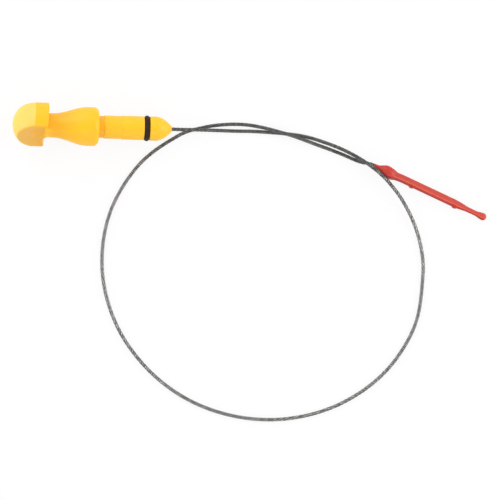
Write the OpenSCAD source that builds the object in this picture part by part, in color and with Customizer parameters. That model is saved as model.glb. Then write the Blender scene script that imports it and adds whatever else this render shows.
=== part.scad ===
// Engine oil dipstick with a moulded finger grip, an O-ring plug, a stranded steel cable and a red gauge tip.
// It lies on a flat surface as it comes to rest: on the grip's rim, the flare, the cable's loop and the red tip.
// Origin: on the handle's axis, at the shoulder that seats on the dipstick tube's mouth.
// +X runs along the handle towards the tip, as seen from above, and +Z is up.

/* [Grip] */
// Radius of the grip's dome and rim
grip_r = 10.8; // [9.5:0.1:14]
// Thickness across the two finger flats
grip_t = 12.5; // [12:0.1:15]
// Length of the rim from the dome's centre to the underside
grip_rim = 4.3; // [3:0.1:10]
// Rounding of the edges of the finger flats
grip_edge_r = 0.8; // [0.3:0.1:1.5]
// Slant of the grip's underside, in degrees
grip_slant = 5; // [0:0.5:10]
// Turn of the grip about the handle's axis from upright, as it lies
grip_roll = 30; // [0:1:60]

/* [Neck and flare] */
// Radius of the neck
neck_r = 5.5; // [5.2:0.1:5.8]
// Length of the straight neck
neck_len = 3.2; // [2:0.1:15]
// Largest radius of the flare
flare_r = 8.75; // [8:0.05:9.2]
// Length over which the neck swells to the flare
flare_len = 15.5; // [8:0.5:25]
// Width of the flare's widest band
flare_band = 2.6; // [1:0.1:6]
// Rounding from the widest band to the seat
flare_edge_r = 2.4; // [1:0.1:2.5]

/* [Plug] */
// Radius of the relief next to the seat
relief_r = 4.95; // [4.4:0.05:5.15]
// Length of the relief
relief_len = 2.6; // [1:0.1:4]
// Radius of the plug's root
root_r = 5.2; // [5.15:0.01:5.3]
// Length of the plug's root
root_len = 7.9; // [4:0.1:15]
// Radius of the plug's guide
guide_r = 5.35; // [5.3:0.01:5.4]
// Length of the plug's guide
guide_len = 9.7; // [5:0.1:15]
// Radius of the land beyond the O-ring
land_r = 5.45; // [5.4:0.01:5.55]
// Length of the land
land_len = 2.7; // [1:0.1:5]
// Length of the pointed nose
nose_len = 7; // [5:0.1:12]
// Radius of the nose's flat end
nose_end_r = 1.2; // [1.1:0.05:1.8]
// How far the nose's outline bulges from a plain cone
nose_bulge = 0.6; // [0:0.1:1]
// Small chamfer on the plug's edges
plug_chamfer = 0.25; // [0.1:0.05:0.4]

/* [O-ring] */
// Thickness of the ring
ring_d = 2.5; // [2:0.1:3]
// How far the ring stands out of the land
ring_proud = 0.35; // [0.2:0.05:0.5]
// Gap between the ring and each side of its groove
ring_side_gap = 0.25; // [0.1:0.05:0.5]

/* [Cable] */
// Diameter of the stranded cable
cable_d = 1.6; // [1.2:0.05:1.7]
// Radial gap between the cable and the bores that hold it
cable_gap = 0.05; // [0.02:0.01:0.1]
// Length of cable that leaves the nose straight
cable_lead = 5; // [3:0.5:8]
// Length of cable that enters the tip straight
tip_lead = 3; // [2:0.5:4]

/* [Ferrules] */
// Radius of the sleeve crimped inside the plug
plug_ferrule_r = 1.6; // [1.3:0.05:2.2]
// Length of the sleeve crimped inside the plug
plug_ferrule_len = 8; // [4:0.5:12]
// Depth of plastic between the seat and the sleeve's blind end
plug_ferrule_z = 4; // [0:0.5:8]
// Radius of the sleeve crimped inside the tip
tip_ferrule_r = 1.35; // [1.15:0.05:1.4]
// Length of the sleeve crimped inside the tip
tip_ferrule_len = 5; // [4:0.5:5]
// Distance from the tip's start to its sleeve
tip_ferrule_z = 2.8; // [2.6:0.1:3]

/* [Gauge tip] */
// Radius of the tip's start, round the cable
tip_root_r = 1; // [0.95:0.05:1.2]
// Radius of the bulb
bulb_r = 2.55; // [2.2:0.05:2.65]
// Length over which the tip swells to the bulb
bulb_rise = 4.8; // [4:0.1:5]
// Length of the bulb's widest band
bulb_band = 1; // [0.8:0.1:2]
// Length over which the bulb shrinks into the bar
bulb_fall = 4; // [3:0.1:5]
// Width of the square bar
bar_w = 2.6; // [2.2:0.05:2.8]
// Rounding of the bar's edges
bar_edge_r = 0.4; // [0.2:0.05:0.6]
// Distance from the tip's start to the lower level nib
nib_first = 17.5; // [14:0.5:18]
// Distance between the two level nibs
nib_pitch = 21.3; // [15:0.1:22]
// Height of a nib above the bar's side
nib_h = 0.7; // [0.3:0.05:1]
// Length of a nib at its foot
nib_foot = 2.4; // [1.2:0.1:3]
// Length of a nib at its crest
nib_crest = 0.7; // [0.3:0.1:1]
// Distance from the tip's start to the end of the plain bar
bar_end = 37; // [36:0.5:40]
// Length over which the bar shrinks to the thin neck
bar_taper = 10; // [6:0.5:12]
// Radius of the thin neck
tip_neck_r = 1; // [0.8:0.05:1.2]
// Radius of the ball
ball_r = 1.7; // [1.4:0.05:2.2]
// Distance from the tip's start to the ball's centre
ball_z = 52.4; // [51.5:0.1:54]

/* [Hidden] */
$fn = 64;
turned_sides = 96;
small_sides = 32;
curve_steps = 12;
overlap = 0.5;

// Places along the handle's axis, measured from the seat towards the nose
flare_full_z = -flare_edge_r;
flare_start_z = flare_full_z - flare_band;
neck_end_z = flare_start_z - flare_len;
underside_z = neck_end_z - neck_len;
dome_z = underside_z - grip_rim;
root_z = relief_len;
guide_z = root_z + root_len;
groove_z = guide_z + guide_len;
groove_w = ring_d + 2 * ring_side_gap;
ring_z = groove_z + groove_w / 2;
land_z = groove_z + groove_w;
nose_z = land_z + land_len;
exit_z = nose_z + nose_len;
ring_mid_r = land_r + ring_proud - ring_d / 2;
groove_r = ring_mid_r - ring_d / 2;

// Section of the grip across its axis: a disc cut by two flats, with rounded edges
edge_n = grip_t / 2 - grip_edge_r;
edge_reach = grip_r - grip_edge_r;
edge_v = sqrt(edge_reach * edge_reach - edge_n * edge_n);
edge_angle = atan2(edge_n, edge_v);
edge_tangent_n = edge_n * grip_r / edge_reach;

// The handle rests on the end of the grip's rim and on the flare's rounding, which tips its nose down
grip_low = grip_roll <= edge_angle ? grip_r : edge_reach * cos(grip_roll - edge_angle) + grip_edge_r;
rest_rise = grip_low - flare_r + flare_edge_r;
rest_run = flare_full_z - underside_z;
rest_reach = sqrt(rest_rise * rest_rise + rest_run * rest_run);
tilt = acos(flare_edge_r / rest_reach) - atan2(rest_run, rest_rise);
floor_z = -(grip_low * cos(tilt) + underside_z * sin(tilt));

// The tip lies on its bulb and its ball, and the cable passes over its start
tip_start = [125.9, -14.1];
tip_yaw = -23.4;
tip_run = ball_z - bulb_rise - bulb_band;
tip_drop = acos(ball_r / sqrt(tip_run * tip_run + bulb_r * bulb_r)) - atan2(tip_run, bulb_r);
tip_start_h = ball_r + ball_z * sin(tip_drop);

cable_r = cable_d / 2;
bore_r = cable_r + cable_gap;
cable_sides = 8;
cable_steps = 2;
handle_dir = [cos(tilt), 0, -sin(tilt)];
tip_dir = [cos(tip_yaw) * cos(tip_drop), sin(tip_yaw) * cos(tip_drop), -sin(tip_drop)];
tip_origin = [tip_start[0], tip_start[1], floor_z + tip_start_h];

// Where the free cable runs: x, y and height of its middle above the surface
cable_route = [
    [46, 0.1, 3.6], [54, 0.1, 1.9], [62, 0.1, 0.95], [70, 0.2, 0.8], [84, -0.4, 0.8], [93, -1.4, 0.9],
    [102, -3.8, 1.6], [111, -7.1, 3], [119, -11.2, 4.3], [125, -15.2, 4.9], [128.5, -18.1, 4.9],
    [131, -20.5, 4.6], [137, -27.8, 3.3], [143, -38.5, 1.7], [146.8, -50, 0.9], [148, -62, 0.8],
    [145, -85, 0.8], [132.5, -106, 0.8], [113, -121, 0.8],
    [90, -128.5, 0.8], [66.5, -128.5, 0.8], [44, -121.5, 0.8], [25, -108, 0.8], [10.5, -88.5, 0.8],
    [3.5, -64.5, 0.8], [6, -39, 0.8], [18.5, -16.5, 0.8], [36.5, -2.4, 0.8],
    [48, 1.5, 0.8], [58, 3, 0.8], [66, 3.1, 0.9], [73, 2.2, 1.4], [79, 0.9, 2.3], [85, -0.6, 2.6],
    [91, -2.4, 2.3], [98, -4.8, 1.3], [105, -7.1, 0.8], [111, -9.3, 0.9], [115.5, -11.1, 1.5], [118.5, -12.1, 2.1]
];
cable_points = concat(
    [exit_z * handle_dir, (exit_z + cable_lead) * handle_dir],
    [for (p = cable_route) [p[0], p[1], p[2] + floor_z]],
    [tip_origin - tip_lead * tip_dir, tip_origin]
);

// Share of a smooth rise from 0 to 1
function rise(t) = t * t * (3 - 2 * t);

// Outline points that swell or shrink smoothly from one radius to another along the axis
function swell(r0, r1, z0, length, steps = curve_steps) =
    [for (i = [0:steps]) [r0 + (r1 - r0) * rise(i / steps), z0 + length * i / steps]];

// Quarter round from a full radius at z0 to a face at z0 + r
function round_over(full_r, r, z0, steps = curve_steps) =
    [for (i = [0:steps]) [full_r - r + r * cos(90 * i / steps), z0 + r * sin(90 * i / steps)]];

function last(list) = list[len(list) - 1];

// Direction of a smooth curve at each of its points, from the points on both sides
function span(points, i) = norm(points[i + 1] - points[i]);
function slope(points, i) =
    (points[i + 1] - points[i - 1]) / (span(points, i - 1) + span(points, i));

// Point at share t of one stretch of the smooth curve
function curve_point(p, m, i, t) =
    (2 * t * t * t - 3 * t * t + 1) * p[i]
    + (t * t * t - 2 * t * t + t) * span(p, i) * m[i]
    + (3 * t * t - 2 * t * t * t) * p[i + 1]
    + (t * t * t - t * t) * span(p, i) * m[i + 1];

// Corners of one ring of the cable's tube, square to its direction
function ring(centre, direction) =
    let (
        along = direction / norm(direction),
        across = cross([0, 0, 1], along) / norm(cross([0, 0, 1], along)),
        up = cross(along, across)
    )
    [for (k = [0:cable_sides - 1])
        let (a = 360 * (k + 0.5) / cable_sides)
        centre + cable_r * (cos(a) * across + sin(a) * up)];

module on_handle(z = 0) {
    rotate([0, 90 + tilt, 0]) translate([0, 0, z]) children();
}

module on_tip(z = 0) {
    translate(tip_origin) rotate([0, 90 + tip_drop, tip_yaw]) translate([0, 0, z]) children();
}

// Disc cut by two flats, with rounded edges, in the plane across the grip's axis
module grip_section() {
    intersection() {
        circle(grip_r, $fn = turned_sides);
        square([2 * grip_r, 2 * edge_tangent_n], center = true);
    }
    square([2 * edge_v, grip_t], center = true);
    for (v = [-1, 1], n = [-1, 1])
        translate([v * edge_v, n * edge_n]) circle(grip_edge_r, $fn = small_sides);
}

// Half of the section turned about the line between the flats, so the dome's edges are rounded too
module grip_dome() {
    rotate([-90, 0, 0])
        rotate_extrude(angle = 180, $fn = turned_sides)
            intersection() {
                grip_section();
                translate([0, -grip_t]) square([2 * grip_r, 2 * grip_t]);
            }
}

// Rim of the grip, up to its slanted underside
module grip_rim_solid() {
    difference() {
        linear_extrude(grip_rim * 2) grip_section();
        translate([0, 0, grip_rim])
            rotate([0, 0, grip_roll])
                rotate([grip_slant, 0, 0])
                    translate([-2 * grip_r, -2 * grip_r, 0])
                        cube([4 * grip_r, 4 * grip_r, 2 * grip_r]);
    }
}

module grip() {
    translate([0, 0, dome_z]) rotate([0, 0, -grip_roll]) {
        grip_dome();
        grip_rim_solid();
    }
}

function nose_outline() =
    [for (i = [0:curve_steps])
        let (t = i / curve_steps)
        [land_r + (nose_end_r - land_r) * t + nose_bulge * 4 * t * (1 - t), nose_z + nose_len * t]];

function step_up(r0, r1, z) = [[r0, z - (r1 - r0)], [r1, z]];

// Outline of everything turned about the handle's axis, from inside the grip to the nose
function handle_outline() = concat(
    [[0, underside_z - grip_rim / 2], [neck_r, underside_z - grip_rim / 2]],
    swell(neck_r, flare_r, neck_end_z, flare_len),
    round_over(flare_r, flare_edge_r, flare_full_z),
    [[relief_r, 0]],
    step_up(relief_r, root_r, root_z),
    step_up(root_r, guide_r, guide_z),
    [[guide_r, groove_z - plug_chamfer], [guide_r - plug_chamfer, groove_z], [groove_r, groove_z],
     [groove_r, land_z], [land_r - plug_chamfer, land_z], [land_r, land_z + plug_chamfer]],
    nose_outline(),
    [[0, exit_z]]
);

module handle() {
    color("gold") on_handle() difference() {
        union() {
            grip();
            rotate_extrude($fn = turned_sides) polygon(handle_outline());
        }
        translate([0, 0, plug_ferrule_z]) cylinder(r = bore_r, h = exit_z);
        translate([0, 0, plug_ferrule_z]) cylinder(r = plug_ferrule_r, h = plug_ferrule_len);
    }
}

module o_ring() {
    color("#231d1a") on_handle(ring_z)
        rotate_extrude($fn = turned_sides) translate([ring_mid_r, 0]) circle(ring_d / 2, $fn = small_sides);
}

module ferrule(r, length) {
    difference() {
        cylinder(r = r, h = length);
        translate([0, 0, -overlap]) cylinder(r = bore_r, h = length + 2 * overlap);
    }
}

module handle_ferrule() {
    color("silver") on_handle(plug_ferrule_z) ferrule(plug_ferrule_r, plug_ferrule_len);
}

module tip_ferrule() {
    color("silver") on_tip(tip_ferrule_z) ferrule(tip_ferrule_r, tip_ferrule_len);
}

// One tube along the whole cable, from the blind end of one sleeve to the blind end of the other
module cable() {
    n = len(cable_points);
    slopes = [for (i = [0:n - 1])
        i == 0 ? handle_dir : i == n - 1 ? tip_dir : slope(cable_points, i)];
    free = concat(
        [for (i = [0:n - 2], k = [0:cable_steps - 1]) curve_point(cable_points, slopes, i, k / cable_steps)],
        [last(cable_points)]
    );
    middles = concat(
        [plug_ferrule_z * handle_dir],
        free,
        [tip_origin + (tip_ferrule_z + tip_ferrule_len) * tip_dir]
    );
    m = len(middles);
    rings = [for (i = [0:m - 1])
        ring(middles[i], i <= 1 ? handle_dir : i >= m - 2 ? tip_dir : slope(middles, i))];
    corners = [for (r = rings, c = r) c];
    s = cable_sides;
    sides = [for (i = [0:m - 2], k = [0:s - 1])
        [i * s + k, i * s + (k + 1) % s, (i + 1) * s + (k + 1) % s, (i + 1) * s + k]];
    ends = [
        [for (k = [s - 1:-1:0]) k],
        [for (k = [0:s - 1]) (m - 1) * s + k]
    ];
    color("dimgray") polyhedron(corners, [for (f = concat(sides, ends)) [for (k = [len(f) - 1:-1:0]) f[k]]]);
}

function bulb_outline() = concat(
    [[0, 0]],
    swell(tip_root_r, bulb_r, 0, bulb_rise),
    swell(bulb_r, bar_w / 2 - cable_gap, bulb_rise + bulb_band, bulb_fall),
    [[0, bulb_rise + bulb_band + bulb_fall]]
);

// Everything turned about the tip's axis beyond the bar's start, which the bar is trimmed by
function bar_envelope() = concat(
    [[0, bulb_rise + bulb_band], [bar_w, bulb_rise + bulb_band]],
    swell(bar_w, tip_neck_r, bar_end - bar_w, bar_taper + bar_w),
    [[tip_neck_r, ball_z], [0, ball_z]]
);

module bar_section() {
    inner = bar_w / 2 - bar_edge_r;
    square([bar_w, 2 * inner], center = true);
    square([2 * inner, bar_w], center = true);
    for (x = [-1, 1], y = [-1, 1])
        translate([x * inner, y * inner]) circle(bar_edge_r, $fn = small_sides);
}

// Level nib: a low tooth across one side of the bar
module nib() {
    rotate([90, 0, 90])
        linear_extrude(bar_w - 2 * bar_edge_r, center = true)
            polygon([[0, -nib_foot / 2], [bar_w / 2, -nib_foot / 2], [bar_w / 2 + nib_h, -nib_crest / 2],
                     [bar_w / 2 + nib_h, nib_crest / 2], [bar_w / 2, nib_foot / 2], [0, nib_foot / 2]]);
}

module gauge_tip() {
    color("#d8493f") on_tip() difference() {
        union() {
            rotate_extrude() polygon(bulb_outline());
            rotate([0, 0, 180 - grip_roll]) {
                intersection() {
                    translate([0, 0, bulb_rise + bulb_band]) linear_extrude(ball_z - bulb_rise - bulb_band)
                        bar_section();
                    rotate_extrude() polygon(bar_envelope());
                }
                for (i = [0, 1])
                    translate([0, 0, nib_first + i * nib_pitch]) nib();
            }
            translate([0, 0, ball_z]) sphere(ball_r);
        }
        translate([0, 0, -overlap]) cylinder(r = bore_r, h = overlap + tip_ferrule_z + tip_ferrule_len);
        translate([0, 0, tip_ferrule_z]) cylinder(r = tip_ferrule_r, h = tip_ferrule_len);
    }
}

handle();
o_ring();
cable();
handle_ferrule();
gauge_tip();
tip_ferrule();
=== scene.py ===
"""Engine oil dipstick: yellow moulded handle, rubber ring, stranded steel cable in a loop, red gauge tip."""
from math import acos, atan2, cos, exp, pi, radians, sin, sqrt

import bpy
import numpy as np
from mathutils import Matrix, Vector


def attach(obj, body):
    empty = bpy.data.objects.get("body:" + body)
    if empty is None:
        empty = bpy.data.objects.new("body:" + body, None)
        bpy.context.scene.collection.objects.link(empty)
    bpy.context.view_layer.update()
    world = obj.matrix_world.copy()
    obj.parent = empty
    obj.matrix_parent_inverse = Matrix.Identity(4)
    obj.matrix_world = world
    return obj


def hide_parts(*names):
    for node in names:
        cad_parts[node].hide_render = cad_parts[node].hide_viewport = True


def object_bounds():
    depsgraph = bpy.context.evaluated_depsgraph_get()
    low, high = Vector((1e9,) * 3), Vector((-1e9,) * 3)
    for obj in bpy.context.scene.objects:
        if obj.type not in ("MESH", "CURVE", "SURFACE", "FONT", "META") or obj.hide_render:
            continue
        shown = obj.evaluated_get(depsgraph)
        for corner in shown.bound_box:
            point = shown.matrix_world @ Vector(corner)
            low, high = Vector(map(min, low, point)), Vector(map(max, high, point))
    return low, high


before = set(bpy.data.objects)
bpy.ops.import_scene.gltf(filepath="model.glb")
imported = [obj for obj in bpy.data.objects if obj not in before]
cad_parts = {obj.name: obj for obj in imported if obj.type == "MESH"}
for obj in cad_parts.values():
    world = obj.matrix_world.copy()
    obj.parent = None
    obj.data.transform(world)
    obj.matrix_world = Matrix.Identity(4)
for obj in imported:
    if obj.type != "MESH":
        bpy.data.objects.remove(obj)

CAD_BOX = [[float(x) for x in corner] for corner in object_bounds()]
MM = 0.001

# Sizes in mm. Places along the handle are measured from the seat towards the nose, and end in W.
# The neck, flare, plug, ring and cable have the CAD source's sizes, and so have the places along the tip.
# The grip, the nose's bulge, and the tip's bulb, bar, neck and nibs are refined here.

# Grip: radius of its rim, thickness over its flats, turn about the axis, and its middle's place across
GRIP_R = 10.8
GRIP_T = 13.1
GRIP_ROLL = radians(30)
GRIP_B = 0.2
# Roundings of the flats' edges, of the underside's edge, and of the crease where the dome meets the rim
GRIP_EDGE = 0.5
RIM_EDGE = 0.5
CREASE_EDGE = 0.15
# Dome: radius, place of its widest part, shift to one side, and its radius as a share of its height
DOME_R = 11.05
DOME_W = -27.2
DOME_B = 0.03
DOME_SQUASH = 0.95
# The underside is a shallow arch: its middle, its slopes across and along the flats, its rise,
# how far out it rises, and how sharply it levels off there. Its distance is scaled for its slant.
ARCH_W = -24.95
ARCH_N = 0.064
ARCH_V = 0.044
ARCH_RISE = 1.42
ARCH_REACH = 8.8
ARCH_SHARPNESS = 8
UNDER_STEEPNESS = 0.96

# Neck and flare. The neck's fillet is larger under one flat, round the turn BLEND_TURN.
NECK_R = 5.5
NECK_LEN = 3.2
NECK_FILLET = 0.5
FLAT_FILLET = 5.0
BLEND_TURN = radians(-42)
BLEND_START = 0.80
BLEND_WIDTH = 0.19
FLARE_R = 8.75
FLARE_LEN = 15.5
FLARE_BAND = 2.6
FLARE_EDGE = 2.4

# Plug: relief, root, guide and land, each with its radius and length, and the slopes between the first three
RELIEF_R = 4.95
RELIEF_LEN = 2.6
RELIEF_FILLET = 0.25
ROOT_R = 5.2
ROOT_LEN = 7.9
ROOT_SLOPE = 0.45
GUIDE_R = 5.35
GUIDE_LEN = 9.7
GUIDE_SLOPE = 0.3
LAND_R = 5.45
LAND_LEN = 2.7
NOSE_LEN = 7.0
NOSE_END_R = 1.2
NOSE_BULGE = 0.95

# O-ring and its groove, which closes up to the ring here
RING_D = 2.5
RING_PROUD = 0.35
RING_GAP = 0.25
RING_FIT = 0.04
GROOVE_LIP = 0.12

# Cable and its bores
CABLE_D = 1.6
CABLE_GAP = 0.05
CABLE_LEAD = 5.0
CABLE_IN_NOSE = 8.0
CABLE_IN_TIP = 7.8
TIP_LEAD = 3.0
BORE_R = CABLE_D / 2 + CABLE_GAP
BORE_LIP = 0.1
BORE_LIP_RISE = 0.03
NOSE_BORE = 4.0
TIP_BORE = 3.0

# Gauge tip, measured from where it starts in the CAD source. The sleeve reaches back from there.
TIP_START = (125.9, -14.1)
TIP_YAW = radians(-23.4)
TIP_ROLL = radians(30)
TIP_ROOT_R = 1.0
TIP_SLEEVE = 1.6
TIP_SLEEVE_R = 0.95
TIP_SLEEVE_LIP = 0.03
BULB_R = 2.55
BULB_RISE = 4.8
BULB_BAND = 1.0
BULB_FALL = 4.0
BULB_SWELL = 0.85
# The bulb is broader sideways round one place, and sways to its lower side along one stretch
BULB_BROAD = 0.10
BROAD_Z = 5.0
BROAD_REACH = 4.0
BULB_SWAY = 0.22
SWAY_Z = 3.5
SWAY_LEN = 8.5
# The square bar, its taper into the thin neck, how much sooner that is round than thin, and the ball
BAR_W = 2.85
BAR_END = 37.0
BAR_TAPER = 10.0
TAPER_ROUNDING = 1.3
TIP_NECK_R = 1.15
BALL_R = 1.7
BALL_Z = 52.4
# The neck flares into the ball over this length, hollowed by this exponent, and joins it behind its centre.
# The place and the radius of the join are shares of the ball's radius.
BALL_FLARE = 3.2
FLARE_HOLLOW = 1.3
JOIN_BACK = 0.35
JOIN_R = 0.93
# Nibs: place of the first, distance to the second, height, and lengths at foot and crest
NIB_FIRST = 17.5
NIB_PITCH = 21.3
NIB_H = 0.7
NIB_FOOT = 3.0
NIB_CREST = 0.9
# Their softened edges, out along the bar and up or down, and where they are rooted in it
NIB_CREST_EDGE = (0.12, 0.08)
NIB_FOOT_EDGE = (0.05, 0.02)
NIB_ROOT = (0.15, 0.6)
# Slices across a nib: each one's place, and how much smaller it is than the middle
NIB_SLICES = ((-0.95, 0.07), (-0.85, 0.0), (0.85, 0.0), (0.95, 0.07))

# Exponents of the tip's section: 2 is round, and 9 is square with small roundings
ROUND = 2.0
NEARLY_ROUND = 2.01
SQUARE = 9.0

FLARE_FULL_W = -FLARE_EDGE
NECK_END_W = FLARE_FULL_W - FLARE_BAND - FLARE_LEN
UNDER_W = NECK_END_W - NECK_LEN
ROOT_W = RELIEF_LEN
GUIDE_W = ROOT_W + ROOT_LEN
GROOVE_W = GUIDE_W + GUIDE_LEN
LAND_W = GROOVE_W + RING_D + 2 * RING_GAP
RING_W = (GROOVE_W + LAND_W) / 2
NOSE_W = LAND_W + LAND_LEN
EXIT_W = NOSE_W + NOSE_LEN
GROOVE_R = LAND_R + RING_PROUD - RING_D


def lying_turn(radius, below, along):
    """How far a piece tips when it lies on a rounding and on a point below and along from its centre."""
    return acos(radius / sqrt(below ** 2 + along ** 2)) - atan2(along, below)


# The handle lies on the grip's rim and on the flare's rounding
TILT = lying_turn(FLARE_EDGE, GRIP_R - FLARE_R + FLARE_EDGE, FLARE_FULL_W - UNDER_W)
FLOOR_Z = -(GRIP_R * cos(TILT) + UNDER_W * sin(TILT))
AXIS = np.array([cos(TILT), 0, -sin(TILT)])
UP = np.array([sin(TILT), 0, cos(TILT)])
ACROSS = np.array([0.0, 1.0, 0.0])

# Directions across and along the grip's flats, as shares of UP and ACROSS
FLAT_N = np.array([-sin(GRIP_ROLL), cos(GRIP_ROLL)])
FLAT_V = np.array([cos(GRIP_ROLL), sin(GRIP_ROLL)])

# The tip lies on its bulb and its ball
TIP_DROP = lying_turn(BALL_R, BULB_R, BALL_Z - BULB_RISE - BULB_BAND)
TIP_DIR = np.array([cos(TIP_YAW) * cos(TIP_DROP), sin(TIP_YAW) * cos(TIP_DROP), -sin(TIP_DROP)])
TIP_ORIGIN = np.array([*TIP_START, FLOOR_Z + (BALL_R + BALL_Z * sin(TIP_DROP))])

# Route of the cable's middle: x, y and the height above the floor, in m
ROUTE = [
    (0.046, 0.0001, 0.0036), (0.054, 0.0001, 0.0019), (0.062, 0.0001, 0.00095), (0.070, 0.0002, 0.0008),
    (0.084, -0.0004, 0.0008), (0.093, -0.0014, 0.0009), (0.102, -0.0038, 0.0016), (0.111, -0.0071, 0.0030),
    (0.119, -0.0112, 0.0043), (0.125, -0.0152, 0.0049), (0.1285, -0.0181, 0.0049), (0.131, -0.0205, 0.0046),
    (0.137, -0.0278, 0.0033), (0.143, -0.0385, 0.0017), (0.1468, -0.050, 0.0009), (0.148, -0.062, 0.0008),
    (0.145, -0.085, 0.0008), (0.1325, -0.106, 0.0008), (0.113, -0.121, 0.0008), (0.090, -0.1285, 0.0008),
    (0.0665, -0.1285, 0.0008), (0.044, -0.1215, 0.0008), (0.025, -0.108, 0.0008), (0.0105, -0.0885, 0.0008),
    (0.0035, -0.0645, 0.0008), (0.006, -0.039, 0.0008), (0.0185, -0.0165, 0.0008), (0.0365, -0.0024, 0.0008),
    (0.048, 0.0015, 0.0008), (0.058, 0.003, 0.0008), (0.066, 0.0031, 0.0009), (0.073, 0.0022, 0.0014),
    (0.079, 0.0009, 0.0023), (0.085, -0.0006, 0.0026), (0.091, -0.0024, 0.0023), (0.098, -0.0048, 0.0013),
    (0.105, -0.0071, 0.0008), (0.111, -0.0093, 0.0009), (0.1155, -0.0111, 0.0015), (0.1185, -0.0121, 0.0021),
]
ROUTE_STEP = 0.0005

# Camera: straight down, as the photograph. The picture is FRAME_WIDTH wide at FRAME_LEVEL, in m.
FRAME_WIDTH = 0.225
FRAME_LEVEL = -0.003
CAMERA_PLACE = (0.06975, -0.05323)
CAMERA_HEIGHT = 4.0
CAMERA_ROLL = radians(1.8)
SENSOR = 36.0


def add_camera():
    data = bpy.data.cameras.new("camera")
    data.sensor_width = SENSOR
    data.lens = SENSOR * CAMERA_HEIGHT / FRAME_WIDTH
    camera = bpy.data.objects.new("camera", data)
    bpy.context.scene.collection.objects.link(camera)
    camera.location = (*CAMERA_PLACE, CAMERA_HEIGHT + FRAME_LEVEL)
    camera.rotation_euler = (0, 0, CAMERA_ROLL)
    bpy.context.scene.camera = camera


add_camera()


# Meshes

def link_mesh(name, verts, faces, uv=None, smooth=True):
    """A mesh object with its place in its vertices, in metres."""
    mesh = bpy.data.meshes.new(name)
    mesh.from_pydata(np.asarray(verts).tolist(), [], faces)
    if uv is not None:
        layer = mesh.uv_layers.new(name="UVMap")
        layer.data.foreach_set("uv", np.asarray(uv, dtype=np.float32).ravel())
    mesh.polygons.foreach_set("use_smooth", [smooth] * len(mesh.polygons))
    mesh.update()
    obj = bpy.data.objects.new(name, mesh)
    bpy.context.scene.collection.objects.link(obj)
    return obj


def tube_faces(rings, sides, base=0, caps=True):
    """Faces of a tube of rings, each with the same number of corners, with closed ends."""
    out = []
    for i in range(rings - 1):
        for k in range(sides):
            a = base + i * sides + k
            b = base + i * sides + (k + 1) % sides
            out.append((a, b, b + sides, a + sides))
    if caps:
        out.append(tuple(base + k for k in reversed(range(sides))))
        out.append(tuple(base + (rings - 1) * sides + k for k in range(sides)))
    return out


def tube_uv(along, sides):
    """For each of a tube's faces, its corners' distance along the tube and share of a turn round it."""
    out = []
    for here, there in zip(along, along[1:]):
        for k in range(sides):
            low = k / sides
            high = (k + 1) / sides
            out.append([(here, low), (here, high), (there, high), (there, low)])
    return out


def flat_list(groups):
    return [item for group in groups for item in group]


def rise(t):
    """From 0 to 1, level at both ends."""
    return t * t * (3 - 2 * t)


def shares(count):
    """Equal steps up to 1, without 0."""
    return [i / count for i in range(1, count + 1)]


# The cable's middle line

def hermite(p0, p1, slope0, slope1, t):
    """The point at t on the cubic curve from p0 to p1 with these slopes at its ends."""
    return ((2 * t ** 3 - 3 * t ** 2 + 1) * p0 + (t ** 3 - 2 * t ** 2 + t) * slope0
            + (3 * t ** 2 - 2 * t ** 3) * p1 + (t ** 3 - t ** 2) * slope1)


def smooth_curve(points, first, last, step):
    """Points every step or so along the same cubic curve that the CAD cable follows."""
    gaps = np.linalg.norm(np.diff(points, axis=0), axis=1)
    slopes = np.zeros_like(points)
    slopes[0] = first
    slopes[-1] = last
    for i in range(1, len(points) - 1):
        slopes[i] = (points[i + 1] - points[i - 1]) / (gaps[i] + gaps[i - 1])
    out = []
    for i, gap in enumerate(gaps):
        for t in np.linspace(0, 1, max(2, round(gap / step)), endpoint=False):
            out.append(hermite(points[i], points[i + 1], gap * slopes[i], gap * slopes[i + 1], t))
    out.append(points[-1])
    return np.array(out)


def distances(points):
    """How far along a line of points each of them is."""
    return np.concatenate([[0], np.cumsum(np.linalg.norm(np.diff(points, axis=0), axis=1))])


def even(points, step):
    """The same line with points at an even distance."""
    at = distances(points)
    wanted = np.linspace(0, at[-1], int(round(at[-1] / step)) + 1)
    return np.stack([np.interp(wanted, at, points[:, k]) for k in range(3)], axis=1)


def on_axis(w):
    """A place on the handle's axis, in metres."""
    return w * MM * AXIS


def on_tip(z):
    """A place on the tip's axis, in metres."""
    return (TIP_ORIGIN + z * TIP_DIR) * MM


knots = np.array([on_axis(EXIT_W), on_axis(EXIT_W + CABLE_LEAD)]
                 + [(x, y, h + FLOOR_Z * MM) for x, y, h in ROUTE]
                 + [on_tip(-TIP_LEAD), on_tip(0)])
free = smooth_curve(knots, AXIS, TIP_DIR, ROUTE_STEP)
centre = even(np.vstack([[on_axis(EXIT_W - CABLE_IN_NOSE)], free, [on_tip(CABLE_IN_TIP)]]), ROUTE_STEP)


# The cable: six strands laid round a core

STRANDS = 6
STRAND_SIDES = 8
CORE_SIDES = 8
ROPE_LAY = 10.8 * MM
ROPE_D = 1.68 * MM
STRAND_R = ROPE_D / 6
LAY_R = ROPE_D / 2 - STRAND_R
CORE_R = LAY_R * 0.9
PLAIN_UV = (0.0, 0.5)


def directions(points):
    d = np.gradient(points, axis=0)
    return d / np.linalg.norm(d, axis=1)[:, None]


def carried_axes(points):
    """A pair of axes square to a line of points that don't twist on the way."""
    along = directions(points)
    side = np.zeros_like(along)
    side[0] = np.cross([0, 0, 1], along[0])
    side[0] /= np.linalg.norm(side[0])
    for i in range(1, len(points)):
        s = side[i - 1] - along[i] * np.dot(side[i - 1], along[i])
        side[i] = s / np.linalg.norm(s)
    return side, np.cross(along, side)


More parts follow.
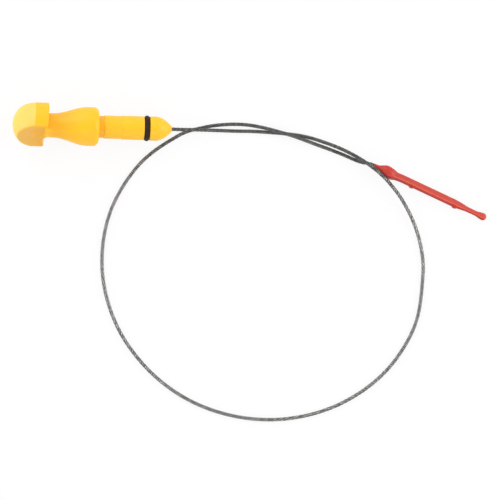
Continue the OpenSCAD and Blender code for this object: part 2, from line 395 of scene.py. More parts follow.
def round_rings(points, first, second, radius, sides):
    """Corners of a ring round each point, in the plane of its two axes."""
    angle = 2 * pi * np.arange(sides) / sides
    round_dir = (np.cos(angle)[None, :, None] * first[:, None]
                 + np.sin(angle)[None, :, None] * second[:, None])
    return (points[:, None] + radius * round_dir).reshape(-1, 3)


def build_rope():
    side, over = carried_axes(centre)
    distance = distances(centre)
    verts, faces, uv = [], [], []
    for strand in range(STRANDS):
        angle = 2 * pi * (distance / ROPE_LAY + strand / STRANDS)
        out_dir = np.cos(angle)[:, None] * side + np.sin(angle)[:, None] * over
        middle = centre + LAY_R * out_dir
        tangent = directions(middle)
        square = np.cross(tangent, out_dir)
        square /= np.linalg.norm(square, axis=1)[:, None]
        outward = np.cross(square, tangent)
        faces += tube_faces(len(middle), STRAND_SIDES, sum(map(len, verts)))
        verts.append(round_rings(middle, outward, square, STRAND_R, STRAND_SIDES))
        uv += flat_list(tube_uv(distance / MM, STRAND_SIDES)) + [PLAIN_UV] * (2 * STRAND_SIDES)
    core = centre[::2]
    faces += tube_faces(len(core), CORE_SIDES, sum(map(len, verts)))
    verts.append(round_rings(core, *carried_axes(core), CORE_R, CORE_SIDES))
    uv += [PLAIN_UV] * (4 * CORE_SIDES * (len(core) - 1) + 2 * CORE_SIDES)
    return link_mesh("cable_rope", np.vstack(verts), faces, uv)


rope = build_rope()


# The handle: places in mm, a up, b across and w along its axis, or r and an angle instead of a and b

HANDLE_COLUMNS = 320
DOME_ROWS = 58
RIM_ROWS = 26
UNDER_ROWS = 26
NECK_ROWS = 14
FLARE_ROWS = 40
NOSE_ROWS = 22
# The dome's rows stop short of a quarter turn, and rows crowd where the rim and the neck meet the underside
DOME_TURN = pi / 2 - 0.2
RIM_CROWD = 1.4
NECK_CROWD = 0.8
# The rows are pulled onto the surface in rounds, each by a share of what is left
PULL_ROUNDS = 14
PULL_SHARE = 0.8
PROBE = 1e-3
LEAST_STEEPNESS = 0.05
LEAST_R = 0.02
APEX_RISE = 0.004
TINY = 1e-6


def round_max(a, b, r):
    """Where two half spaces meet, with the edge rounded by r."""
    return np.minimum(np.maximum(a, b), -r) + np.hypot(np.maximum(a + r, 0), np.maximum(b + r, 0))


def round_min(a, b, r):
    """Where two solids join, with a fillet of radius r."""
    return np.maximum(np.minimum(a, b), r) - np.hypot(np.maximum(r - a, 0), np.maximum(r - b, 0))


def underside(a, b):
    """Where the grip's underside lies along the handle."""
    n = FLAT_N[0] * a + FLAT_N[1] * b
    v = FLAT_V[0] * a + FLAT_V[1] * b
    share = (v / ARCH_REACH) ** 2
    levelling = (1 + share ** ARCH_SHARPNESS) ** (1 / ARCH_SHARPNESS)
    return ARCH_W + ARCH_N * n + ARCH_V * v + ARCH_RISE * share / levelling


def head_distance(a, b, w):
    """Signed distance to the grip and the neck."""
    side = b - DOME_B
    end = np.sqrt(a ** 2 + side ** 2 + (DOME_SQUASH * (w - DOME_W)) ** 2)
    dome = np.where(w < DOME_W, end, np.hypot(a, side)) - DOME_R
    rim = np.hypot(a, b - GRIP_B) - GRIP_R
    flats = np.abs(FLAT_N[0] * a + FLAT_N[1] * (b - GRIP_B)) - GRIP_T / 2
    under = (w - underside(a, b)) * UNDER_STEEPNESS
    grip = round_max(round_max(round_max(dome, rim, CREASE_EDGE), flats, GRIP_EDGE), under, RIM_EDGE)
    neck = np.maximum(np.hypot(a, b) - NECK_R, DOME_W - w)
    facing = (a * cos(BLEND_TURN) + b * sin(BLEND_TURN)) / np.maximum(np.hypot(a, b), TINY)
    blend = rise(np.clip((facing - BLEND_START) / BLEND_WIDTH, 0, 1))
    return round_min(grip, neck, NECK_FILLET + (FLAT_FILLET - NECK_FILLET) * blend)


def head_start(c, s):
    """Rows of r and w near the surface, from the apex to the neck, for angles with cosines c and sines s."""
    reach = np.minimum(GRIP_R, GRIP_T / 2 / np.maximum(np.abs(FLAT_N[0] * c + FLAT_N[1] * s), TINY))
    dome_len = DOME_R / DOME_SQUASH
    apex = DOME_W - dome_len
    rim_start = DOME_W - sqrt(DOME_R ** 2 - GRIP_R ** 2) / DOME_SQUASH
    left = rim_start - apex - dome_len * (1 - cos(DOME_TURN))
    under = underside(reach * c, reach * s)
    rows = []
    for t in shares(DOME_ROWS):
        turn = t * DOME_TURN
        w = apex + dome_len * (1 - cos(turn)) + left * t
        rows.append((np.minimum(DOME_R * sin(turn), reach), np.full_like(c, w)))
    for t in shares(RIM_ROWS):
        crowded = 1 - (1 - t) ** RIM_CROWD
        rows.append((reach, rim_start + (under - rim_start) * crowded))
    for t in shares(UNDER_ROWS):
        r = reach + (NECK_R - reach) * t
        rows.append((r, underside(r * c, r * s)))
    neck_start = rows[-1][1]
    for t in shares(NECK_ROWS):
        crowded = 1 - (1 - t) ** NECK_CROWD
        rows.append((np.full_like(c, NECK_R), neck_start + (NECK_END_W - neck_start) * crowded))
    return np.array([r for r, w in rows]), np.array([w for r, w in rows])


def head_rows(theta):
    """Rows of r and w on the surface of the grip and the neck, from the apex on, for each angle."""
    c = np.cos(theta)
    s = np.sin(theta)
    r, w = head_start(c, s)
    for _ in range(PULL_ROUNDS):
        off = head_distance(r * c, r * s, w)
        outer = head_distance((r + PROBE) * c, (r + PROBE) * s, w)
        inner = head_distance((r - PROBE) * c, (r - PROBE) * s, w)
        after = head_distance(r * c, r * s, w + PROBE)
        before = head_distance(r * c, r * s, w - PROBE)
        dr = (outer - inner) / (2 * PROBE)
        dw = (after - before) / (2 * PROBE)
        steepness = np.maximum(dr ** 2 + dw ** 2, LEAST_STEEPNESS)
        r = np.maximum(r - PULL_SHARE * off * dr / steepness, LEAST_R)
        w = w - PULL_SHARE * off * dw / steepness
    w[-1] = NECK_END_W
    r[-1] = NECK_R
    return r, w


def arc(middle_r, middle_w, radius, start, end, steps):
    """Points of an arc after its first, as (r, w). Angle 0 points along +r and 90 along +w."""
    angles = [radians(start + (end - start) * i / steps) for i in range(1, steps + 1)]
    return [(middle_r + radius * cos(angle), middle_w + radius * sin(angle)) for angle in angles]


def line(r0, w0, r1, w1, steps):
    """Points of a straight line after its first."""
    return [(r0 + (r1 - r0) * i / steps, w0 + (w1 - w0) * i / steps) for i in range(1, steps + 1)]


def slope(r0, r1, w0, length, steps):
    """Points after the first of a rounded slope from one radius to another."""
    return [(r0 + (r1 - r0) * rise(i / steps), w0 + length * i / steps) for i in range(1, steps + 1)]


def flare_outline():
    points = slope(NECK_R, FLARE_R, NECK_END_W, FLARE_LEN, steps=FLARE_ROWS)
    points += line(FLARE_R, FLARE_FULL_W - FLARE_BAND, FLARE_R, FLARE_FULL_W, steps=5)
    points += arc(FLARE_R - FLARE_EDGE, FLARE_FULL_W, FLARE_EDGE, 0, 90, steps=14)
    return points


def plug_outline():
    fillet_r = RELIEF_R + RELIEF_FILLET
    points = line(FLARE_R - FLARE_EDGE, 0, fillet_r, 0, steps=3)
    points += arc(fillet_r, RELIEF_FILLET, RELIEF_FILLET, 270, 180, steps=4)
    points += line(RELIEF_R, RELIEF_FILLET, RELIEF_R, ROOT_W - ROOT_SLOPE, steps=4)
    points += slope(RELIEF_R, ROOT_R, ROOT_W - ROOT_SLOPE, ROOT_SLOPE, steps=6)
    points += line(ROOT_R, ROOT_W, ROOT_R, GUIDE_W - GUIDE_SLOPE, steps=8)
    points += slope(ROOT_R, GUIDE_R, GUIDE_W - GUIDE_SLOPE, GUIDE_SLOPE, steps=5)
    return points


def groove_outline():
    """From the guide's start, through the groove, to the land's end."""
    lip = GROOVE_LIP
    near = RING_W - RING_D / 2 - RING_FIT
    far = RING_W + RING_D / 2 + RING_FIT
    points = line(GUIDE_R, GUIDE_W, GUIDE_R, near - lip, steps=8)
    points += arc(GUIDE_R - lip, near - lip, lip, 0, 90, steps=4)
    points += line(GUIDE_R - lip, near, GROOVE_R + lip, near, steps=2)
    points += arc(GROOVE_R + lip, near + lip, lip, 270, 180, steps=3)
    points += line(GROOVE_R, near + lip, GROOVE_R, far - lip, steps=4)
    points += arc(GROOVE_R + lip, far - lip, lip, 180, 90, steps=3)
    points += line(GROOVE_R + lip, far, LAND_R - lip, far, steps=2)
    points += arc(LAND_R - lip, far + lip, lip, -90, 0, steps=4)
    points += line(LAND_R, far + lip, LAND_R, NOSE_W, steps=4)
    return points


def nose_outline():
    """The bulged nose, its small flat end and the bore that the cable leaves."""
    points = [(LAND_R + (NOSE_END_R - LAND_R) * t + NOSE_BULGE * 4 * t * (1 - t), NOSE_W + NOSE_LEN * t)
              for t in shares(NOSE_ROWS)]
    lip_r = BORE_R + BORE_LIP
    points += line(NOSE_END_R, EXIT_W, lip_r, EXIT_W + BORE_LIP_RISE, steps=2)
    points += line(lip_r, EXIT_W + BORE_LIP_RISE, BORE_R, EXIT_W - BORE_LIP, steps=2)
    points += line(BORE_R, EXIT_W - BORE_LIP, BORE_R, EXIT_W - NOSE_BORE, steps=3)
    return points


def build_handle():
    columns = HANDLE_COLUMNS
    theta = 2 * pi * np.arange(columns) / columns
    r, w = head_rows(theta)
    turned = np.array(flare_outline() + plug_outline() + groove_outline() + nose_outline())
    r = np.vstack([r, np.repeat(turned[:, :1], columns, 1)])
    w = np.vstack([w, np.repeat(turned[:, 1:], columns, 1)])
    a = r * np.cos(theta)
    b = r * np.sin(theta)
    verts = (a[..., None] * UP + b[..., None] * ACROSS + w[..., None] * AXIS).reshape(-1, 3) * MM
    faces = tube_faces(len(r), columns, caps=False)
    apex = len(verts)
    end = apex + 1
    last = (len(r) - 1) * columns
    apex_w = float(w[0].mean()) - APEX_RISE
    verts = np.vstack([verts, [on_axis(apex_w)], [on_axis(w[-1, 0])]])
    faces += [(apex, (k + 1) % columns, k) for k in range(columns)]
    faces += [(end, last + k, last + (k + 1) % columns) for k in range(columns)]
    return link_mesh("handle_moulding", verts, faces)


handle = build_handle()


# The gauge tip: z in mm along it, and turns measured from the middle of its upper facet

TIP_COLUMNS = 64
TIP_STEP = 0.2
FIRST_STEP = 0.08
BALL_ROWS = 12
RIDGE_TURN = 0.875
LOWER_TURN = 0.75


def bar_section(z):
    """Half width of the tip before its ball at z, and the exponent of its section there."""
    fall_start = BULB_RISE + BULB_BAND
    half = BAR_W / 2
    if z < 0:
        return TIP_SLEEVE_R + (TIP_ROOT_R - TIP_SLEEVE_R) * (1 + z / TIP_SLEEVE), ROUND
    if z < BULB_RISE:
        return TIP_ROOT_R + (BULB_R - TIP_ROOT_R) * rise((z / BULB_RISE) ** BULB_SWELL), ROUND
    if z < fall_start:
        return BULB_R, ROUND
    if z < fall_start + BULB_FALL:
        share = rise((z - fall_start) / BULB_FALL)
        return BULB_R + (half - BULB_R) * share, ROUND + (SQUARE - ROUND) * share ** 2
    if z < BAR_END:
        return half, SQUARE
    if z < BAR_END + BAR_TAPER:
        t = (z - BAR_END) / BAR_TAPER
        rounded = rise(min(1, t * TAPER_ROUNDING))
        return half + (TIP_NECK_R - half) * rise(t), SQUARE - (SQUARE - ROUND) * rounded
    return TIP_NECK_R, ROUND


def tip_rings():
    """Half width, exponent and place of each ring, from inside the bore to the ball's end."""
    rings = [(BORE_R, ROUND, TIP_BORE),
             (BORE_R, ROUND, BORE_LIP - TIP_SLEEVE),
             (BORE_R + TIP_SLEEVE_LIP, ROUND, -TIP_SLEEVE),
             (TIP_SLEEVE_R - TIP_SLEEVE_LIP, ROUND, -TIP_SLEEVE)]
    join = BALL_Z - BALL_R * JOIN_BACK
    for z in np.arange(FIRST_STEP - TIP_SLEEVE, BALL_Z, TIP_STEP):
        half, power = bar_section(z)
        if z > join:
            half = sqrt(BALL_R ** 2 - (z - BALL_Z) ** 2)
        elif z > join - BALL_FLARE:
            share = rise((z - join + BALL_FLARE) / BALL_FLARE) ** FLARE_HOLLOW
            half = TIP_NECK_R + (BALL_R * JOIN_R - TIP_NECK_R) * share
        rings.append((half, power, z))
    for i in range(1, BALL_ROWS):
        turn = pi / 2 * i / BALL_ROWS
        rings.append((BALL_R * cos(turn), ROUND, BALL_Z + BALL_R * sin(turn)))
    return rings


def tip_axes():
    """Directions level across the tip and square to both."""
    side_dir = np.cross([0, 0, 1], TIP_DIR)
    side_dir /= np.linalg.norm(side_dir)
    return side_dir, np.cross(TIP_DIR, side_dir)


def tip_ring_verts(half, power, z):
    """Corners of one ring of the tip: round, or a rounded square that stands on its lower edge."""
    side_dir, up_dir = tip_axes()
    theta = 2 * pi * np.arange(TIP_COLUMNS) / TIP_COLUMNS
    radius = np.full(TIP_COLUMNS, half)
    if power > NEARLY_ROUND:
        radius = half / (np.abs(np.cos(theta)) ** power + np.abs(np.sin(theta)) ** power) ** (1 / power)
    turned = theta + TIP_ROLL
    broad = 1 + BULB_BROAD * exp(-((z - BROAD_Z) / BROAD_REACH) ** 2)
    sway = BULB_SWAY * sin(pi * min(1, max(0, (z - SWAY_Z) / SWAY_LEN)))
    round_dir = np.cos(turned)[:, None] * up_dir + broad * np.sin(turned)[:, None] * side_dir
    return TIP_ORIGIN + z * TIP_DIR - sway * side_dir + radius[:, None] * round_dir


def nib_outline():
    """A nib's corners, along the bar from its middle and out from the tip's axis, from foot to foot."""
    bar = BAR_W / 2
    half = [(NIB_CREST / 2, bar + NIB_H),
            (NIB_CREST / 2 + NIB_CREST_EDGE[0], bar + NIB_H - NIB_CREST_EDGE[1]),
            (NIB_FOOT / 2 + NIB_FOOT_EDGE[0], bar + NIB_FOOT_EDGE[1]),
            (NIB_FOOT / 2 + NIB_ROOT[0], NIB_ROOT[1])]
    return [(-dz, height) for dz, height in reversed(half)] + half


def nib_verts(place):
    """Slices of a nib across the bar's lower facet, the outer ones a little smaller."""
    side_dir, up_dir = tip_axes()
    turn = TIP_ROLL - pi / 2
    normal = cos(turn) * up_dir + sin(turn) * side_dir
    across = np.cross(normal, TIP_DIR)
    return [TIP_ORIGIN + (place + dz * (1 - shrink)) * TIP_DIR + (height - shrink) * normal + width * across
            for width, shrink in NIB_SLICES for dz, height in nib_outline()]


def build_tip():
    columns = TIP_COLUMNS
    rings = tip_rings()
    verts = [tip_ring_verts(*ring) for ring in rings]
    verts += [[TIP_ORIGIN + (BALL_Z + BALL_R) * TIP_DIR], [TIP_ORIGIN + TIP_BORE * TIP_DIR]]
    end = len(rings) * columns
    start = end + 1
    last = end - columns
    faces = [face[::-1] for face in tube_faces(len(rings), columns, caps=False)]
    faces += [(end, last + (k + 1) % columns, last + k) for k in range(columns)]
    faces += [(start, k, (k + 1) % columns) for k in range(columns)]
    uv = flat_list(quad[::-1] for quad in tube_uv([z for half, power, z in rings], columns))
    uv += [(BALL_Z, 0.5)] * (3 * columns) + [PLAIN_UV] * (3 * columns)
    slices = len(NIB_SLICES)
    corners = len(nib_outline())
    base = start + 1
    for place in (NIB_FIRST, NIB_FIRST + NIB_PITCH):
        verts.append(nib_verts(place))
        faces += tube_faces(slices, corners, base)
        uv += [(place, LOWER_TURN)] * (4 * corners * (slices - 1) + 2 * corners)
        base += slices * corners
    return link_mesh("gauge_tip_moulding", np.vstack(verts) * MM, faces, uv)


tip = build_tip()


# Shader nodes

def connect(tree, value, socket):
    """Links a socket's value, or sets a plain one."""
    if isinstance(value, bpy.types.NodeSocket):
        tree.links.new(value, socket)
    else:
        socket.default_value = value


def node(tree, kind, inputs=None, **props):
    n = tree.nodes.new(kind)
    for key, value in props.items():
        setattr(n, key, value)
    for key, value in (inputs or {}).items():
        connect(tree, value, n.inputs[key])
    return n


def new_material(name):
    material = bpy.data.materials.new(name)
    material.use_nodes = True
    tree = material.node_tree
    return material, tree, tree.nodes["Principled BSDF"]


def maths(tree, operation, *values):
    return node(tree, "ShaderNodeMath", dict(enumerate(values)), operation=operation).outputs[0]


def object_place(tree):
    return node(tree, "ShaderNodeTexCoord").outputs["Object"]


def noise(tree, scale, detail):
    inputs = {"Vector": object_place(tree), "Scale": scale, "Detail": detail, "Roughness": 0.55}
    return node(tree, "ShaderNodeTexNoise", inputs).outputs["Fac"]


def mapped(tree, value, low, high, from_low=0.3, from_high=0.7):
    """Value brought from one range to another, and kept inside it. The first range suits a noise."""
    inputs = {"Value": value, "From Min": from_low, "From Max": from_high, "To Min": low, "To Max": high}
    return node(tree, "ShaderNodeMapRange", inputs).outputs["Result"]


def grows(tree, value, start, end):
    """0 up to start and 1 from end on."""
    return mapped(tree, value, 0.0, 1.0, start, end)


def fades(tree, value, start, end):
    """1 up to start and 0 from end on."""
    return mapped(tree, value, 1.0, 0.0, start, end)


def mixed(tree, factor, a, b):
    """One colour turning into another. Plain colours are given as red, green and blue."""
    n = node(tree, "ShaderNodeMix", data_type="RGBA")
    for key, value in ((0, factor), (6, a), (7, b)):
        connect(tree, (*value, 1) if isinstance(value, tuple) else value, n.inputs[key])
    return n.outputs[2]


def clouded(tree, scale, detail, deep, base):
    """Two colours in soft patches."""
    return mixed(tree, mapped(tree, noise(tree, scale, detail), 0, 1), deep, base)


def uneven(tree, scale, detail, low, high):
    """A value that varies over the surface."""
    return mapped(tree, noise(tree, scale, detail), low, high)


def bumps(tree, shader, layers):
    """Stacks bump layers of (height, distance in m, strength) on a shader."""
    normal = None
    for height, depth, strength in layers:
        inputs = {"Height": height, "Distance": depth, "Strength": strength}
        if normal is not None:
            inputs["Normal"] = normal
        normal = node(tree, "ShaderNodeBump", inputs).outputs["Normal"]
    tree.links.new(normal, shader.inputs["Normal"])


# Materials: colours are red, green and blue, and lengths along the object are in mm

FLAT_DIR = FLAT_N[0] * UP + FLAT_N[1] * ACROSS
# The crease below the dome leans across the flats
CREASE_W = -29.17
CREASE_LEAN = 0.04
CREASE_DIR = AXIS - CREASE_LEAN * FLAT_DIR

HANDLE_BASE = (0.98, 0.540, 0.005)
HANDLE_DEEP = (0.96, 0.510, 0.003)
# Painted sheen: the dome is painted paler, as where its surface catches the light
HANDLE_DOME_SHEEN = (0.98, 0.620, 0.108)
# Painted shade in the neck's hollow
HANDLE_NECK_SHADE = (0.95, 0.468, 0.002)
# Painted shade in the relief next to the flare
HANDLE_RELIEF_SHADE = (0.91, 0.435, 0.001)
# Painted shade on the flats, which face away from the light, paler and greyer near the dome as a painted
# reflection
HANDLE_FLAT_SHADE = (0.82, 0.38, 0.006)
HANDLE_FLAT_END_SHADE_AND_SHEEN = (0.84, 0.455, 0.060)
DOME_GRAIN = 0.5
# How far before and after its place each painted shade or sheen of the handle begins or ends
FLAT_FADE = (0.9, -0.02)
CREASE_FADE = (0.12, 0.12)
DOME_FADE = (3.5, 5.0)
HEAD_FADE = (1.2, 0.8)
NECK_FADE = (0.6, 1.5)
FLARE_FADE = (0.0, 12.0)
SEAT_FADE = (0.3, 0.3)
RELIEF_FADE = (0.6, 0.2)

TIP_BASE = (0.55, 0.074, 0.053)
TIP_DEEP = (0.50, 0.062, 0.045)
# Painted shade on the thick bulb, as less light passes through it than through the thin bar
TIP_BULB_SHADE = (0.50, 0.034, 0.024)
TIP_BULB_SHADE_SHARE = 0.7
# Painted shade on the bar's lower facet
TIP_LOWER_SHADE = (0.44, 0.026, 0.018)
# Painted highlight along the bar's ridge
TIP_RIDGE_HIGHLIGHT = (0.82, 0.115, 0.078)
# The bar's paler colour starts this late, and the ridge's painted highlight and the lower facet's painted
# shade fade over these shares of a turn
BAR_LATE = 1.0
RIDGE_FADE = (0.010, 0.045)
LOWER_FADE = (0.085, 0.125)

PLASTIC_SCATTER = 0.10
SCATTER_RADIUS = (1.0, 0.5, 0.2)
SCATTER_SCALE = 0.0012
# Scale of the noise and depth in m of the plastic's fine grain and of its slow swell
GRAIN_SCALE = 6000
GRAIN_DEPTH = 0.00002
SWELL_SCALE = 260
SWELL_DEPTH = 0.00025


def along_direction(tree, direction):
    """How far each point lies along a direction, in metres."""
    inputs = {0: object_place(tree), 1: direction.tolist()}
    return node(tree, "ShaderNodeVectorMath", inputs, operation="DOT_PRODUCT").outputs["Value"]


def around(place, fade):
    """Start and end in metres of a fade at a place in mm."""
    return (place - fade[0]) * MM, (place + fade[1]) * MM


def painted_handle_light(tree, colour):
    """Painted shade on the neck, the relief and the flats, and a painted sheen on the dome and on the flats
    near it, with the share of the dome's finer grain.
    """
    at = along_direction(tree, CREASE_DIR)
    side = maths(tree, "SUBTRACT", along_direction(tree, FLAT_DIR), GRIP_B * FLAT_N[1] * MM)
    off = maths(tree, "ABSOLUTE", side)
    on_flat = grows(tree, off, *around(GRIP_T / 2, FLAT_FADE))
    # The dome's painted sheen ends crisply at the crease, but softly across the flats
    crisp = fades(tree, at, *around(CREASE_W, CREASE_FADE))
    soft_end = fades(tree, at, *around(CREASE_W, DOME_FADE))
    dome = node(tree, "ShaderNodeMix", {0: on_flat, 2: crisp, 3: soft_end}, data_type="FLOAT").outputs[0]
    neck = maths(tree, "MULTIPLY", grows(tree, at, *around(UNDER_W, NECK_FADE)),
                 fades(tree, at, *around(NECK_END_W, FLARE_FADE)))
    relief = maths(tree, "MULTIPLY", grows(tree, at, *around(0, SEAT_FADE)),
                   fades(tree, at, *around(RELIEF_LEN, RELIEF_FADE)))
    head = fades(tree, at, *around(UNDER_W, HEAD_FADE))
    # Painted shade in the neck's hollow
    colour = mixed(tree, neck, colour, HANDLE_NECK_SHADE)
    # Painted shade in the relief next to the flare
    colour = mixed(tree, relief, colour, HANDLE_RELIEF_SHADE)
    # Painted sheen on the dome
    colour = mixed(tree, dome, colour, HANDLE_DOME_SHEEN)
    # Painted shade on the flats, with a painted reflection near the dome
    flat_shade = mixed(tree, soft_end, HANDLE_FLAT_SHADE, HANDLE_FLAT_END_SHADE_AND_SHEEN)
    return mixed(tree, maths(tree, "MULTIPLY", on_flat, head), colour, flat_shade), dome


def painted_tip_light(tree, colour):
    """Painted light on the tip: the thin bar is paler than the bulb, with a painted highlight on its ridge
    and painted shade on its lower facet. It has no finer grain.
    """
    uv = node(tree, "ShaderNodeUVMap", uv_map="UVMap").outputs["UV"]
    parts = node(tree, "ShaderNodeSeparateXYZ", {0: uv})
    along = parts.outputs["X"]
    turn = parts.outputs["Y"]
    off_ridge = maths(tree, "ABSOLUTE", maths(tree, "SUBTRACT", turn, RIDGE_TURN))
    off_lower = maths(tree, "ABSOLUTE", maths(tree, "SUBTRACT", turn, LOWER_TURN))
    bar = grows(tree, along, BULB_RISE + BAR_LATE, BULB_RISE + BULB_BAND + BULB_FALL + BAR_LATE)
    # Painted highlight along the ridge, in patches
    ridge_highlight = maths(tree, "MULTIPLY", fades(tree, off_ridge, *RIDGE_FADE), uneven(tree, 900, 3, 0.65, 1.0))
    # Painted shade on the lower facet
    shaded = mixed(tree, fades(tree, off_lower, *LOWER_FADE), colour, TIP_LOWER_SHADE)
    bright = mixed(tree, ridge_highlight, shaded, TIP_RIDGE_HIGHLIGHT)
    # Painted shade on the bulb
    return mixed(tree, bar, mixed(tree, TIP_BULB_SHADE_SHARE, colour, TIP_BULB_SHADE), bright), None


def plastic(name, colours, shades, rough, grain, shine, swell):
    """Moulded plastic, faintly translucent, with a fine grain and a slow swell in its surface."""
    material, tree, shader = new_material(name)
    # The shades function paints light and shade into the colour, and gives the share of finer grain
    colour, finer = shades(tree, clouded(tree, 140, 3, *colours))
    connect(tree, colour, shader.inputs["Base Color"])
    connect(tree, uneven(tree, 700, 4, *rough), shader.inputs["Roughness"])
    shader.inputs["IOR"].default_value = 1.5
    shader.inputs["Specular IOR Level"].default_value = shine
    shader.inputs["Subsurface Weight"].default_value = PLASTIC_SCATTER
    shader.inputs["Subsurface Radius"].default_value = SCATTER_RADIUS
    shader.inputs["Subsurface Scale"].default_value = SCATTER_SCALE
    if finer is not None:
        grain = mapped(tree, finer, grain, DOME_GRAIN, 0.0, 1.0)
    bumps(tree, shader, [(noise(tree, GRAIN_SCALE, 2), GRAIN_DEPTH, grain),
                         (noise(tree, SWELL_SCALE, 2), SWELL_DEPTH, swell)])
    return material


RUBBER_DARK = (0.012, 0.005, 0.002)
RUBBER_LIGHT = (0.024, 0.011, 0.005)


def rubber():
    material, tree, shader = new_material("ring_rubber")
    colour = clouded(tree, 500, 4, RUBBER_DARK, RUBBER_LIGHT)
    connect(tree, colour, shader.inputs["Base Color"])
    connect(tree, uneven(tree, 1500, 3, 0.5, 0.7), shader.inputs["Roughness"])
    shader.inputs["Specular IOR Level"].default_value = 0.25
    bumps(tree, shader, [(noise(tree, 4500, 3), 0.00003, 0.3)])
    return material


STEEL_DARK = (0.26, 0.257, 0.248)
STEEL_LIGHT = (0.58, 0.571, 0.554)
# The noise's levels between which the steel's patches turn from dark to light
STEEL_PATCHES = (0.38, 0.62)
# How strong the painted shade between wires is, and how far up a groove, as the sine across it, it reaches
WIRE_GAP_SHADE = (0.06, 0.058, 0.055)
GROOVE_SHARE = 0.55
GROOVE_TOP = 0.1
# The painted shade between strands fades as each one's surface turns outward, from 0 at its side to 1
STRAND_GAP_SHADE = (0.012, 0.011, 0.010)
STRAND_FADE = (0.25, 0.97)
# The cable is darker near the handle and near the tip
CABLE_END_DARK = (0.035, 0.033, 0.028)
CABLE_END_DARK_SHARE = 0.52
# Where along the cable the darker stretch ends after the handle, and where it begins before the tip
DARK_AFTER_HANDLE = (95.0, 135.0)
DARK_BEFORE_TIP = (415.0, 455.0)
# Each strand's wires: how many, the length of the cable in which their pattern repeats, and their depth in m
WIRES = 6.0
WIRE_LAY = 3.4
WIRE_DEPTH = 0.00003
SCRATCH_DEPTH = 0.00001


def wire():
    """Twisted steel: the strands are in the mesh, the wires of each strand are fine grooves, and painted
    shade lies in the grooves and between the strands.
    """
    material, tree, shader = new_material("cable_steel")
    uv = node(tree, "ShaderNodeUVMap", uv_map="UVMap").outputs["UV"]
    parts = node(tree, "ShaderNodeSeparateXYZ", {0: uv})
    along = parts.outputs["X"]
    turn = parts.outputs["Y"]
    outward = maths(tree, "COSINE", maths(tree, "MULTIPLY", turn, 2 * pi))
    lay = maths(tree, "MULTIPLY", along, -1 / WIRE_LAY)
    phase = maths(tree, "MULTIPLY", maths(tree, "MULTIPLY_ADD", turn, WIRES, lay), 2 * pi)
    groove = maths(tree, "SINE", phase)
    patches = grows(tree, noise(tree, 700, 4), *STEEL_PATCHES)
    steel = mixed(tree, patches, STEEL_DARK, STEEL_LIGHT)
    # Painted shade in the grooves between wires
    groove_shaded = mixed(tree, mapped(tree, groove, GROOVE_SHARE, 0.0, -1, GROOVE_TOP), steel, WIRE_GAP_SHADE)
    near_ends = maths(tree, "ADD", fades(tree, along, *DARK_AFTER_HANDLE), grows(tree, along, *DARK_BEFORE_TIP))
    ends_darkened = mixed(tree, maths(tree, "MULTIPLY", near_ends, CABLE_END_DARK_SHARE), groove_shaded, CABLE_END_DARK)
    # Painted shade between the strands
    colour = mixed(tree, fades(tree, outward, *STRAND_FADE), ends_darkened, STRAND_GAP_SHADE)
    connect(tree, colour, shader.inputs["Base Color"])
    shader.inputs["Metallic"].default_value = 1.0
    connect(tree, uneven(tree, 2500, 3, 0.26, 0.44), shader.inputs["Roughness"])
    height = mapped(tree, groove, 0, 1, -1, 1)
    bumps(tree, shader, [(height, WIRE_DEPTH, 0.7), (noise(tree, 9000, 2), SCRATCH_DEPTH, 0.3)])
    return material


CRIMP_DARK = (0.42, 0.42, 0.43)
CRIMP_LIGHT = (0.56, 0.56, 0.57)


def crimped():
    material, tree, shader = new_material("crimp_steel")
    colour = clouded(tree, 900, 3, CRIMP_DARK, CRIMP_LIGHT)
    connect(tree, colour, shader.inputs["Base Color"])
    shader.inputs["Metallic"].default_value = 1.0
    connect(tree, uneven(tree, 2500, 3, 0.25, 0.45), shader.inputs["Roughness"])
    bumps(tree, shader, [(noise(tree, 5000, 2), 0.00002, 0.3)])
    return material


def dress(piece, material):
    piece.data.materials.clear()
    piece.data.materials.append(material)


def dress_node(name, material):
    """A CAD node keeps its mesh and takes a material in each of its slots."""
    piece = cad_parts[name]
    if not piece.material_slots:
        piece.data.materials.append(material)
    for material_slot in piece.material_slots:
        material_slot.material = material


dress(handle, plastic("yellow_moulding", (HANDLE_DEEP, HANDLE_BASE), painted_handle_light,
                      rough=(0.40, 0.50), grain=0.25, shine=0.5, swell=0.10))
dress(tip, plastic("red_moulding", (TIP_DEEP, TIP_BASE), painted_tip_light,
                   rough=(0.28, 0.35), grain=0.10, shine=0.25, swell=0.03))
dress(rope, wire())
dress_node("o_ring", rubber())
crimp = crimped()
for ferrule in ("handle_ferrule", "tip_ferrule"):
    dress_node(ferrule, crimp)

# What each piece rides on, stands for and is made of
for piece, cad_node, slot_name in ((handle, "handle", "yellow_plastic"),
                                   (tip, "gauge_tip", "red_plastic"),
                                   (rope, "cable", "cable_steel")):
    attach(piece, "root")
    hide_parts(cad_node)


# Floor, world and lamps

WHITE = (1, 1, 1, 1)
FLOOR_COLOUR = (0.90, 0.90, 0.90, 1)
FLOOR_HALF = 3.0
FLOOR_GAP = 0.00002
# Share of the floor's own light where it is seen; the rest shows its shadows
FLOOR_GLOW = 0.88
# The world's strength at the horizon and overhead
WORLD_LOW = 1.00
WORLD_HIGH = 0.50
LAMP_AIM = (0.06, -0.04, 0.0)
# Name, place, width and depth in m, and watts
LAMPS = (("key", (-0.45, 0.85, 0.60), (1.0, 0.8), 4.2),
         ("fill", (0.10, -0.85, 0.70), (0.8, 0.6), 1.5),
         ("left", (-1.0, 0.0, 0.50), (0.6, 0.6), 3.5),
         ("right", (1.0, 0.10, 0.50), (0.6, 0.6), 5.2))


def seen_rays(tree):
    """1 where the camera sees a surface, straight or in a glossy or clear one."""
    ray = node(tree, "ShaderNodeLightPath")
    share = maths(tree, "MAXIMUM", ray.outputs["Is Camera Ray"], ray.outputs["Is Glossy Ray"])
    return maths(tree, "MAXIMUM", share, ray.outputs["Is Transmission Ray"])


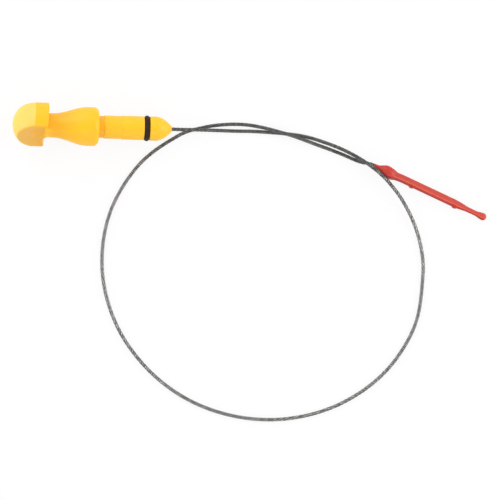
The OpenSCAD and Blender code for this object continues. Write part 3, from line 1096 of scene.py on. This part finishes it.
def mixed_shaders(tree, factor, unseen, seen, output_kind):
    """Joins what lights the object and what is seen, at the tree's output."""
    both = node(tree, "ShaderNodeMixShader", {0: factor, 1: unseen.outputs[0], 2: seen.outputs[0]})
    tree.links.new(both.outputs[0], node(tree, output_kind).inputs["Surface"])


def floor_material():
    material, tree, _ = new_material("floor_white")
    tree.nodes.clear()
    lit = node(tree, "ShaderNodeBsdfDiffuse", {"Color": FLOOR_COLOUR})
    glow = node(tree, "ShaderNodeEmission", {"Color": WHITE, "Strength": 1.0})
    share = maths(tree, "MULTIPLY", seen_rays(tree), FLOOR_GLOW)
    mixed_shaders(tree, share, lit, glow, "ShaderNodeOutputMaterial")
    return material


def add_floor():
    z = CAD_BOX[0][2] - FLOOR_GAP
    half = FLOOR_HALF
    verts = [(-half, -half, z), (half, -half, z), (half, half, z), (-half, half, z)]
    floor = link_mesh("floor", verts, [(0, 1, 2, 3)], smooth=False)
    floor.data.materials.append(floor_material())


def add_world():
    world = bpy.data.worlds.new("studio")
    bpy.context.scene.world = world
    world.use_nodes = True
    tree = world.node_tree
    tree.nodes.clear()
    direction = node(tree, "ShaderNodeTexCoord").outputs["Generated"]
    height = node(tree, "ShaderNodeSeparateXYZ", {0: direction}).outputs["Z"]
    level = mapped(tree, height, WORLD_LOW, WORLD_HIGH, 0.0, 1.0)
    soft = node(tree, "ShaderNodeBackground", {"Color": WHITE, "Strength": level})
    white = node(tree, "ShaderNodeBackground", {"Color": WHITE, "Strength": 1.0})
    mixed_shaders(tree, seen_rays(tree), soft, white, "ShaderNodeOutputWorld")


def add_lamp(name, place, size, watts):
    data = bpy.data.lights.new(name, "AREA")
    data.shape = "RECTANGLE"
    data.size = size[0]
    data.size_y = size[1]
    data.energy = watts
    lamp = bpy.data.objects.new(name, data)
    bpy.context.scene.collection.objects.link(lamp)
    lamp.location = place
    lamp.rotation_euler = (Vector(LAMP_AIM) - Vector(place)).to_track_quat("-Z", "Y").to_euler()


add_floor()
add_world()
for lamp in LAMPS:
    add_lamp(*lamp)

bpy.context.scene.view_settings.view_transform = "Standard"
